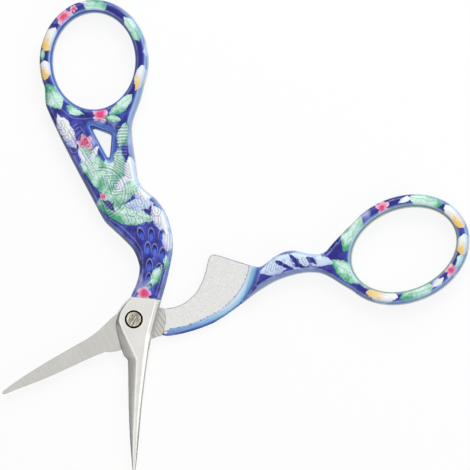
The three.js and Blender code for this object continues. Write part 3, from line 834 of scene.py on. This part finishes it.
LOWER_PRINT = [
    ("shade", 63, 27.6, 26, 6, 3),
    ("shade", 79, 12.6, 62, 6, 3),
    ("shade", 56, 8.6, -34, 4, 3),
    ("shade", 50, 16.6, 20, 4, 3),
    ("leaf", 71.4, 28.8, 170, 4.4, 2.5),
    ("petal", 78.3, 25, 130, 3.8, 2.4),
    ("petal", 80.6, 17.8, 80, 2.7, 2.2),
    ("blossom", 77.6, 11.6, 30, 1.9, 1.9),
    ("leaf", 69.2, 6.3, 18, 4.5, 2.5),
    ("petal", 60.6, 5.6, -10, 4.1, 2.2),
    ("blossom", 60.9, 27, 30, 2, 2),
    ("leaf", 53.4, 20.6, 62, 5.2, 2.5),
    ("leaf", 52.4, 11.4, -34, 5.4, 2.2),
    ("lily", 66.2, 28.9, 24, 2, 0.8),
    ("leaf", 79.6, 13.8, 70, 2.2, 0.8),
    ("lily", 74.2, 8.6, 40, 2, 0.8),
    ("leaf", 56.4, 8.2, -30, 2, 0.8),
    ("plume", 45.4, 14.2, -10, 3.6, 1.7),
    ("plume", 40.6, 14.4, 10, 4.4, 2.3),
    ("plume", 35.2, 13.2, 30, 4.8, 2.4),
    ("shade", 36.6, 13.4, -26, 2.6, 0.7),
    ("shade", 39.6, 14.5, -48, 2, 0.7),
    ("shade", 41, 13, -14, 2.2, 0.5),
    ("shade", 43.6, 14.3, -34, 1.8, 0.6),
]


def print_ground(put, place, settings):
    """Ground of the print: indigo, with violet washes and a few pale lilac clouds.

    Returns its colour, the strength of the wash, and places that sway with the wash.
    """
    wash_size, cloud_size, reach = 2.6 * MM, 7 * MM, 2.2 * MM
    noise = {0: place, "Scale": 1 / wash_size, "Detail": 5, "Roughness": 0.62}
    wash, tint = put("TexNoise", noise, out=None).outputs
    off = put("VectorMath SUBTRACT", tint, (0.5, 0.5, 0.5))
    sway = put("VectorMath MULTIPLY_ADD", off, (reach, reach, 0), place)
    violet = put("MapRange", wash, 0.42, 0.64)
    inputs = {0: violet, 6: rgba(settings.indigo), 7: rgba(settings.violet)}
    ground = put("Mix RGBA", inputs, out=2)
    cloud = put("TexNoise", {0: sway, "Scale": 1 / cloud_size, "Detail": 3})
    pale = put("MapRange SMOOTHSTEP", cloud, 0.58, 0.72, 0, 0.8)
    clouded = put("Mix RGBA", {0: pale, 6: ground, 7: rgba(settings.lilac)}, out=2)
    return clouded, wash, sway


def lay_print(put, under, wash, sway, motifs, settings):
    """Lays the printed motifs over the ground, one over the other."""
    kinds = {
        "leaf": (leaf_motif("leaf", 0.5, 0.25, -0.1, 0.3), settings.mint, settings.pale_mint),
        "petal": (leaf_motif("petal", 0.15, -0.6, -0.08, 0.12), settings.white, settings.amber),
        "lily": (leaf_motif("lily", -0.5, -0.25, 0.15, 0.25), settings.white, settings.lilac),
        "plume": (leaf_motif("plume", 0.7, 0.1, -0.05, 0.2), settings.lilac, settings.haze),
        "shade": (leaf_motif("shade", 0.6, 0.1, 0.1, 0.1), settings.violet, settings.indigo),
        "blossom": (blossom_motif(), settings.pale_pink, settings.pink),
    }
    for kind, x, y, heading, length, width in motifs:
        shape, rim, heart = kinds[kind]
        inputs = {
            "Vector": sway,
            "Location": (x * MM, y * MM, 0),
            "Rotation": (0, 0, math.radians(heading)),
            "Scale": (length * MM, width * MM, 1),
            "Under": under,
            "Wash": wash,
            "Rim": rgba(rim),
            "Heart": rgba(heart),
        }
        under = put("Group", inputs, node_tree=shape)
    return under


def band(put, value, middle, half):
    """A value's closeness to a middle value: 1 there, 0 from half a band away."""
    off = put("Math SUBTRACT", value, middle)
    far = put("Math ABSOLUTE", off)
    return put("MapRange SMOOTHSTEP", far, 0, half, 1, 0)


def coat_layers(put, place, wash, zone, side, hollow, settings):
    """What changes the print: where each layer lies, its strength, its colour and how it is laid."""
    height = put("SeparateXYZ", place, out=2)
    share = put("MapRange", height, 0, TOP)
    # Walls from their foot to their head, with a darker foot of painted shade, and the band from the print to the
    # bare face
    royal, haze = settings.royal, settings.haze
    wall_stops = [(0, royal), (0.3, side), (0.8, haze), (1, side)]
    band_stops = [(0.15, royal), (0.45, settings.ice), (0.78, haze), (1, haze)]
    ramps = []
    for value, (first, *others, last) in ((share, wall_stops), (zone["fade"], band_stops)):
        ramp = put("ValToRGB", value, out=None)
        stops = ramp.color_ramp.elements
        for position, tone in others:
            stops.new(position).color = rgba(tone)
        for end, (position, tone) in ((0, first), (-1, last)):
            stops[end].position = position
            stops[end].color = rgba(tone)
        ramps.append(ramp.outputs[0])
    faded = put("MapRange SMOOTHSTEP", zone["fade"], 0.02, 0.24)
    # Relief: painted light on the cell floors, painted highlights on crests, lips and corners, painted shade in
    # channels and creases
    # A thin painted highlight along the corners of the coat, broken up by the wash
    highlight_strength = put("MapRange", wash, 0.34, 0.58, 0.1, 0.5)
    corner = put("Math MULTIPLY", band(put, zone["tilt"], 0.12, 0.1), highlight_strength)
    crest = put("Math MULTIPLY", zone["ridge"], 0.48)
    highlit = put("Math MAXIMUM", crest, corner)
    # Painted shade along the creases of the coat, deeper inside the bows
    depth = put("MapRange", zone["hollow"], 0, 1, 0.35, 0.75)
    crease_shade = put("Math MULTIPLY", band(put, zone["tilt"], 0.46, 0.2), depth)
    pooled = put("Math MAXIMUM", zone["pooled"], crease_shade)
    return [
        (zone["wall"], 0.66, ramps[0], "MIX"),
        (zone["hollow"], 0.84, rgba(hollow), "MIX"),
        (faded, 1, ramps[1], "MIX"),
        (zone["cell_floor"], 0.8, rgba(royal), "SCREEN"),
        (highlit, 1, rgba(settings.lilac), "SCREEN"),
        (pooled, 0.85, rgba(settings.pool), "MULTIPLY"),
    ]


def blasted_steel(put, place, settings):
    """Shader of a bare mating face: blasted steel with a sparkle."""
    grit_size, grit_depth = 0.3 * MM, 0.05 * MM
    grit = put("TexNoise", {0: place, "Scale": 1 / grit_size, "Detail": 3, "Roughness": 0.7})
    sparkle = put("MapRange", grit, 0.3, 0.72, 0.82, 1.1)
    return bare_metal(put, settings.bare, sparkle, 0.42, grit, 0.35, grit_depth)


def printed_coat(name, motifs, side, hollow, settings):
    """Transfer print under clear lacquer: wet gloss over watercolour washes.

    The print thins to a pale wash down the side walls, paler towards the light as painted light; painted shade
    darkens the channels beside the embossed lines, painted highlights lie on their crests, and the print stops in
    a chipped edge where the mating face is ground bare.
    """
    made, put = new_material(name)
    place = put("TexCoord", out="Object")
    ground, wash, sway = print_ground(put, place, settings)
    tone = lay_print(put, ground, wash, sway, motifs, settings)
    zone = {label: put("Attribute", out="Fac", attribute_name=label) for label in ZONES}
    for where, strength, over, blend in coat_layers(put, place, wash, zone, side, hollow, settings):
        share = put("Math MULTIPLY", where, strength)
        tone = put("Mix RGBA", {0: share, 6: tone, 7: over}, out=2, blend_type=blend)
    gloss = put("MapRange", wash, 0.3, 0.7, 0.1, 0.18)
    inputs = {"Base Color": tone, "Roughness": gloss, "IOR": 1.4}
    lacquer = put("BsdfPrincipled", {**inputs, "Coat Weight": 0.15, "Coat Roughness": 0.04})
    chip_size = 0.6 * MM
    chips = put("TexNoise", {0: place, "Scale": 1 / chip_size, "Detail": 5, "Roughness": 0.7})
    ragged = put("Math MULTIPLY_ADD", chips, 1.4, zone["ground_off"])
    bared = put("MapRange", ragged, 1.2, 1.27)
    both = put("MixShader", bared, lacquer, blasted_steel(put, place, settings))
    put("OutputMaterial", both, out=None)
    return made


# Operators


def finish_piece(made, node, body, material):
    """Gives a piece its material and lets it stand for its CAD node."""
    made.data.materials.clear()
    made.data.materials.append(material)
    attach(made, body)
    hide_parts(node)


def belly_facets(mesh, turn, outward, belly):
    """Bows the ground facets out a little, the way a wheel leaves them."""
    outer_least, slope_least = 0.6, 0.25  # of a facet's normal, along Z and across the blade
    least_width, full_width = 0.2, 2  # mm, of a facet: taken as least, and with the whole belly
    places, normals = points_of(mesh)
    sideways = np.array((math.cos(turn), math.sin(turn)))
    across = places[:, :2] @ sideways
    along = places[:, :2] @ np.array((-math.sin(turn), math.cos(turn)))
    tilt = normals[:, :2] @ sideways
    tip, plate = FACET_ENDS
    stations = np.arange(tip, plate + FACET_STEP, FACET_STEP)
    facets = (outward * normals[:, 2] > outer_least) & (along < plate) & (along > tip)
    for side in (-1, 1):
        facet = np.flatnonzero(facets & (side * tilt > slope_least))
        here, out = along[facet], side * across[facet]
        slot = np.searchsorted(stations, here) - 1
        foot = np.full(len(stations), -np.inf)
        ridge = np.full(len(stations), np.inf)
        np.maximum.at(foot, slot, out)
        np.minimum.at(ridge, slot, out)
        filled = np.isfinite(foot)
        middles = stations[filled] + FACET_STEP / 2
        foot_here = np.interp(here, middles, foot[filled])
        ridge_here = np.interp(here, middles, ridge[filled])
        width = np.maximum(foot_here - ridge_here, least_width)
        share = np.clip((foot_here - out) / width, 0, 1)
        swell = belly * np.minimum(width / full_width, 1) * step(*BELLY_START, here)
        places[facet] += normals[facet] * (swell * 4 * share * (1 - share))[:, None]
    set_points(mesh, places)


def ground_blade(node, body, turn, outward, mating, joint, steel, settings):
    """An even copy of a blade with broken edges, rounded outer ridges and bellied facets."""
    bm = even_copy(node, node + "_ground", settings.grid)
    centre, radius, _ = joint
    reach = (radius - JOINT_CLEAR) * MM
    middle = Vector(centre) * MM
    free = [v for v in bm.verts if (v.co.xy - middle).length < reach]
    smooth(bm, free, settings.edge_passes)
    proud = [v for v in free if outward * (v.co.z - mating) > settings.crisp]
    smooth(bm, proud, settings.ridge_passes)
    made = to_object(bm, node + "_ground")
    belly_facets(made.data, turn, outward, settings.belly / MM)
    finish_piece(made, node, body, steel)


class SCISSORS_OT_blades(Operator):
    """Copy both blades from the frame, break their edges and grind their faces"""

    bl_idname = "scissors.blades"
    bl_label = "Ground blades"

    def execute(self, context):
        settings = context.scene.scissors_blades
        look = {"cut": 0.2, "roughness": 0.26, "hatched": False}
        pitch = settings.satin_pitch
        satin = ground_steel("satin ground steel", settings.land, 0, pitch, settings, **look)
        look = {"cut": 1, "roughness": 0.34, "hatched": True}
        pitch = settings.grind_pitch
        flat = ground_steel("surface ground steel", settings.inner, LOWER_TURN, pitch, settings, **look)
        upper = (0, 1, UPPER_FACE, UPPER_JOINT)
        ground_blade("upper_blade", "upper_half", *upper, satin, settings)
        lower = (LOWER_TURN, -1, LOWER_FACE, LOWER_JOINT)
        ground_blade("lower_blade", "lower_half", *lower, flat, settings)
        return {"FINISHED"}


class SCISSORS_OT_upper_handle(Operator):
    """Coat the upper handle and emboss the bird's neck, chest, wing and legs"""

    bl_idname = "scissors.upper_handle"
    bl_label = "Upper handle"

    def execute(self, context):
        settings = context.scene.scissors_handles

        def carved(place, normal):
            return normal.z > CARVED_TURN and place.z > CARVED_LEVEL and place.y < UPPER_CARVED

        made = coated_handle("upper_handle", UPPER_FACE, UPPER_REACH, carved, settings)
        close_joint(made.data, *UPPER_JOINT)
        bow = bow_middle("upper_bow")
        zones = paint_zones(made.data, UPPER_FACE, -1, UPPER_REACH, UPPER_EDGE, bow, start=0, least=0.3)
        places, _ = points_of(made.data)
        beside = step(*WINDOW_WALL, np.abs(distance_past(places[:, :2], LEG_WINDOW)))
        zones["hollow"] = np.maximum(zones["hollow"], beside)
        lines = [*BODY_LINES, *WING_LINES, *LEG_LINES]
        keep_zones(made.data, zones, emboss(made.data, 1, lines, NECK_CELLS, 0, settings))
        coat = printed_coat("upper printed coat", UPPER_PRINT, settings.sky, settings.cobalt, settings)
        finish_piece(made, "upper_handle", "upper_half", coat)
        return {"FINISHED"}


class SCISSORS_OT_lower_handle(Operator):
    """Coat the lower handle, emboss its shin and outer face, and grind its mating face bare"""

    bl_idname = "scissors.lower_handle"
    bl_label = "Lower handle"

    def execute(self, context):
        settings = context.scene.scissors_handles

        def carved(place, normal):
            shin = normal.z > CARVED_TURN and place.z > CARVED_LEVEL and place.x < LOWER_CARVED
            below = normal.z < -CARVED_TURN and place.z < UNDER_LEVEL
            under = below and place.xy.length < UNDER_CARVED
            return shin or under

        made = coated_handle("lower_handle", LOWER_FACE, LOWER_REACH, carved, settings)
        close_joint(made.data, *LOWER_JOINT)
        bow = bow_middle("lower_bow")
        edges = {"start": PRINT_START, "least": 0.65}
        zones = paint_zones(made.data, LOWER_FACE, 1, LOWER_REACH, LOWER_EDGE, bow, **edges)
        body = emboss(made.data, -1, BODY_LINES, NECK_CELLS, -LOWER_TURN, settings)
        shin = emboss(made.data, 1, SHIN_LINES, SHIN_CELLS, 0, settings)
        keep_zones(made.data, zones, body, shin)
        coat = printed_coat("lower printed coat", LOWER_PRINT, settings.sky, settings.slate, settings)
        finish_piece(made, "lower_handle", "lower_half", coat)
        return {"FINISHED"}


class SCISSORS_OT_pivot_screw(Operator):
    """Turn the pivot screw with its domed head and cut its driver slot"""

    bl_idname = "scissors.pivot_screw"
    bl_label = "Pivot screw"

    def execute(self, context):
        settings = context.scene.scissors_screw
        low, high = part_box("pivot_screw")
        shank, head, crown = settings.shank_radius, settings.head_radius, high.z
        shoulder = crown - settings.dome
        seat = shoulder - settings.head_height
        rim, sides, dome_start, dome_steps = 0.12 * MM, 96, 8, 12
        dome = [
            (head * math.cos(t), shoulder + settings.dome * math.sin(t))
            for t in np.radians(np.linspace(dome_start, 90, dome_steps))
        ]
        foot = [(0, low.z), (shank - rim, low.z), (shank, low.z + rim), (shank, seat)]
        profile = [*foot, (head - rim, seat), (head, seat + rim), *dome[:-1], (0, crown)]
        bm = bmesh.new()
        verts = [bm.verts.new((x, 0, z)) for x, z in profile]
        edges = [bm.edges.new(pair) for pair in zip(verts, verts[1:])]
        whole = {"cent": (0, 0, 0), "axis": (0, 0, 1), "angle": 2 * math.pi, "steps": sides}
        bmesh.ops.spin(bm, geom=[*verts, *edges], use_merge=True, **whole)
        bmesh.ops.remove_doubles(bm, verts=bm.verts, dist=MERGE)
        bmesh.ops.recalc_face_normals(bm, faces=bm.faces)
        across = Vector((-math.sin(settings.slot_angle), math.cos(settings.slot_angle), 0))
        half = settings.slot_width / 2
        floor = Vector((0, 0, crown - settings.slot_depth))
        for place, normal in ((-half * across, across), (half * across, across), (floor, (0, 0, 1))):
            everything = [*bm.verts, *bm.edges, *bm.faces]
            bmesh.ops.bisect_plane(bm, geom=everything, plane_co=place, plane_no=normal)
        middles = [(face, face.calc_center_median()) for face in bm.faces]
        slot = [face for face, at in middles if abs(at.dot(across)) < half and at.z > floor.z]
        bmesh.ops.delete(bm, geom=slot, context="FACES")
        border = [e for e in bm.edges if e.is_boundary]
        bmesh.ops.holes_fill(bm, edges=border, sides=0)
        bmesh.ops.recalc_face_normals(bm, faces=bm.faces)
        made = to_object(bm, "pivot_screw_turned")
        made.modifiers.new("Flat faces", "WEIGHTED_NORMAL").keep_sharp = True
        finish_piece(made, "pivot_screw", "lower_half", nickel_plate(settings))
        return {"FINISHED"}


def hide_from(made, *rays):
    """Keeps an object out of some kinds of ray."""
    for ray in rays:
        setattr(made, "visible_" + ray, False)


def paper_floor(settings):
    """Matt white paper: it shows to the camera from above and keeps a soft shadow."""
    made, put = new_material("white paper")
    paper = put("BsdfDiffuse", rgba(settings.floor))
    white = put("Emission", WHITE, 1)
    lit = put("MixShader", settings.floor_glow, paper, white)
    clear = put("BsdfTransparent")
    behind = put("NewGeometry", out="Backfacing")
    shown = put("MixShader", behind, lit, clear)
    put("OutputMaterial", shown, out=None)
    return made


def studio_world(settings):
    """White all round for the camera and for reflections, and plain even light on the object."""
    world = bpy.data.worlds.new("studio")
    world.use_nodes = True
    world.node_tree.nodes.clear()
    put = partial(add, world.node_tree)
    ray = put("LightPath", out=None).outputs
    seen = put("Math MAXIMUM", ray["Is Camera Ray"], ray["Is Glossy Ray"])
    shown = put("Math MAXIMUM", seen, ray["Is Transmission Ray"])
    strength = put("MapRange", shown, 0, 1, settings.ambient, 1.0)
    sky = put("Background", WHITE, strength)
    put("OutputWorld", sky, out=None)
    bpy.context.scene.world = world


# Soft lamps: name, the setting of its power, place from the middle of the picture and side, in metres
LAMPS = [
    ("key_light", "key", (0.12, 0.45, 0.4), 0.5),
    ("fill_light", "fill", (0.45, -0.35, 0.35), 0.4),
]


def softbox(name, power, place, side, target):
    """A soft square lamp that looks at a point and that no gloss mirrors."""
    lamp = bpy.data.lights.new(name, "AREA")
    lamp.size = side
    lamp.energy = power
    made = bpy.data.objects.new(name, lamp)
    made.location = place
    made.rotation_euler = (target - made.location).to_track_quat("-Z", "Y").to_euler()
    hide_from(made, "camera", "glossy")
    bpy.context.scene.collection.objects.link(made)


# Cards that the gloss mirrors: name, level, heading from X, lowest and highest elevation, in degrees
CARDS = [
    ("left_dark", 0.16, 180, -12, 10),
    ("left_grey", 0.4, 180, 10, 30),
    ("left_pale", 0.7, 180, 30, 46),
    ("left_glint", 1.3, 180, 46, 62),
    ("right_dark", 0.3, 0, -12, 26),
    ("right_bright", 1.5, 0, 28, 54),
    ("right_grey", 0.6, 0, 56, 64),
    ("back_dark", 0.2, 90, -12, 10),
    ("back_grey", 0.55, 90, 10, 44),
    ("back_glint", 2.2, 90, 46, 56),
    ("front_dark", 0.2, -90, -12, 12),
    ("front_grey", 0.55, -90, 12, 44),
    ("front_glint", 2.2, -90, 46, 56),
]


def card(name, level, heading, low, high, target):
    """A bright or grey strip along one side that only reflections see."""
    away, length = 0.5, 1.6
    middle = (low + high) / 2
    out = Vector((math.cos(heading), math.sin(heading), 0)) * math.cos(middle)
    place = target + (out + Vector((0, 0, math.sin(middle)))) * away
    bm = bmesh.new()
    bmesh.ops.create_grid(bm, x_segments=1, y_segments=1, size=0.5)
    bmesh.ops.scale(bm, vec=(length, 2 * away * math.tan((high - low) / 2), 1), verts=bm.verts)
    turn = (target - place).to_track_quat("Z", "Y").to_matrix().to_4x4()
    bmesh.ops.transform(bm, matrix=Matrix.Translation(place) @ turn, verts=bm.verts)
    made = to_object(bm, name)
    glow, put = new_material(name)
    put("OutputMaterial", put("Emission", WHITE, level), out=None)
    made.data.materials.append(glow)
    hide_from(made, "camera", "diffuse", "shadow", "transmission")


class SCISSORS_OT_stage(Operator):
    """Set up the camera, the paper floor and the studio light"""

    bl_idname = "scissors.stage"
    bl_label = "Stage"

    def execute(self, context):
        scene = context.scene
        settings = scene.scissors_stage
        target = Vector((settings.middle_x, settings.middle_y, TOP / 2))
        back = Vector((math.tan(settings.lean_x), -math.tan(settings.lean_y), 1)).normalized()
        right = Vector((0, 1, 0)).cross(back).normalized()
        camera = bpy.data.cameras.new("camera")
        camera.sensor_width = 36
        camera.lens = camera.sensor_width * settings.distance / settings.view_width
        camera.clip_start = 0.01
        camera.clip_end = 10
        eye = bpy.data.objects.new("camera", camera)
        axes = Matrix((right, back.cross(right), back)).transposed()
        eye.matrix_world = Matrix.Translation(target + settings.distance * back) @ axes.to_4x4()
        scene.collection.objects.link(eye)
        scene.camera = eye

        floor_half, floor_drop = 2, 0.05 * MM
        bm = bmesh.new()
        bmesh.ops.create_grid(bm, x_segments=1, y_segments=1, size=floor_half)
        bmesh.ops.translate(bm, vec=(0, 0, -floor_drop), verts=bm.verts)
        paper = to_object(bm, "paper_floor")
        paper.data.materials.append(paper_floor(settings))
        hide_from(paper, "diffuse", "glossy", "shadow", "transmission")

        studio_world(settings)
        for name, power, place, side in LAMPS:
            softbox(name, getattr(settings, power), target + Vector(place), side, target)
        for name, level, *angles in CARDS:
            card(name, level, *(math.radians(degrees) for degrees in angles), target)
        scene.view_settings.view_transform = "Standard"
        return {"FINISHED"}


class SCISSORS_PT_panel(Panel):
    """Sizes, colours and steps of the scissors"""

    bl_idname = "SCISSORS_PT_panel"
    bl_label = "Embroidery scissors"
    bl_space_type = "VIEW_3D"
    bl_region_type = "UI"
    bl_category = "Scissors"

    def draw(self, context):
        for step_class, group in STEPS:
            section = self.layout.box()
            section.operator(step_class.bl_idname)
            settings = getattr(context.scene, group)
            for name in settings.bl_rna.properties.keys():
                if name not in ("rna_type", "name"):
                    section.prop(settings, name)


GROUPS = {
    "scissors_blades": BladeSettings,
    "scissors_handles": HandleSettings,
    "scissors_screw": ScrewSettings,
    "scissors_stage": StageSettings,
}
STEPS = [
    (SCISSORS_OT_stage, "scissors_stage"),
    (SCISSORS_OT_blades, "scissors_blades"),
    (SCISSORS_OT_upper_handle, "scissors_handles"),
    (SCISSORS_OT_lower_handle, "scissors_handles"),
    (SCISSORS_OT_pivot_screw, "scissors_screw"),
]
CLASSES = [*GROUPS.values(), *(step_class for step_class, _ in STEPS), SCISSORS_PT_panel]


def register():
    for made in CLASSES:
        bpy.utils.register_class(made)
    for name, group in GROUPS.items():
        setattr(bpy.types.Scene, name, PointerProperty(type=group))


def unregister():
    for name in GROUPS:
        delattr(bpy.types.Scene, name)
    for made in reversed(CLASSES):
        bpy.utils.unregister_class(made)


def main():
    register()
    bpy.ops.scissors.stage()
    bpy.ops.scissors.blades()
    bpy.ops.scissors.upper_handle()
    bpy.ops.scissors.lower_handle()
    bpy.ops.scissors.pivot_screw()


if __name__ == "__main__":
    main()
